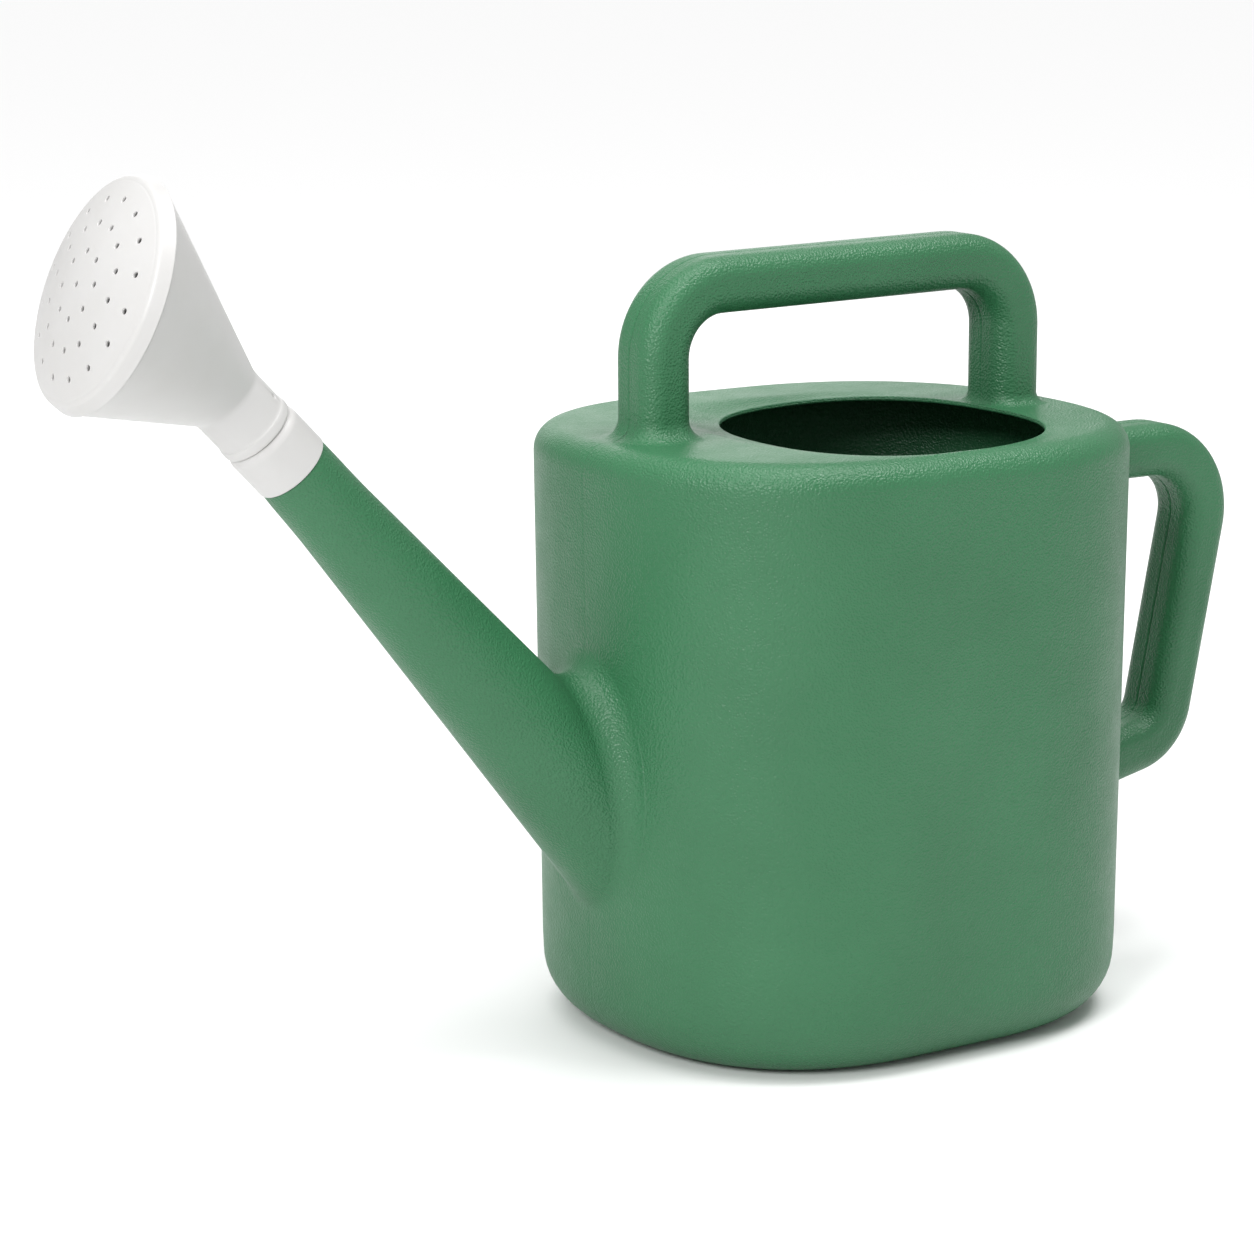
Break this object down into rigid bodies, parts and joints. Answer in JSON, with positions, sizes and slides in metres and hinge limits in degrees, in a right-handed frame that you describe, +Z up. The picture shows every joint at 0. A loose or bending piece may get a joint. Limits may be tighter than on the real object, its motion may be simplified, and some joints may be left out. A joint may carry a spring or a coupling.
{
  "type": "watering can",
  "caption": "Blow-moulded plastic watering can with a fixed top handle and rear handle, a long slanted spout, and a pull-off rose that swivels and has a removable domed, perforated face.",
  "frame": {"origin": "centre of the flat foot, in the plane of the mould's parting line", "axes": "+Z up, the spout points along -X, the rear handle is on +X, and y = 0 is the parting plane"},
  "size_m": [0.5528, 0.2124, 0.3667],
  "materials": {
    "can_plastic": "satin, fine leather grain",
    "rose_plastic": "satin",
    "seal_rubber": "matt"
  },
  "bodies": {
    "can": {"tank": "can_plastic", "spout": "can_plastic", "top_handle": "can_plastic", "rear_handle": "can_plastic"},
    "collar": {"spout_collar": "rose_plastic", "sealing_ring": "seal_rubber"},
    "rose": {"rose_cone": "rose_plastic"},
    "cap": {"rose_cap": "rose_plastic"}
  },
  "joints": [
    {"name": "collar_pull", "type": "slide", "parent": "can", "child": "collar", "axis": [-0.6845, 0, 0.729], "range_m": [0, 0.035]},
    {"name": "rose_swivel", "type": "hinge", "parent": "collar", "child": "rose", "pos_m": [-0.25048, 0, 0.25346], "axis": [-0.6845, 0, 0.729], "continuous": true},
    {"name": "cap_pull", "type": "slide", "parent": "rose", "child": "cap", "axis": [-0.9259, 0, 0.3778], "range_m": [0, 0.02]}
  ]
}
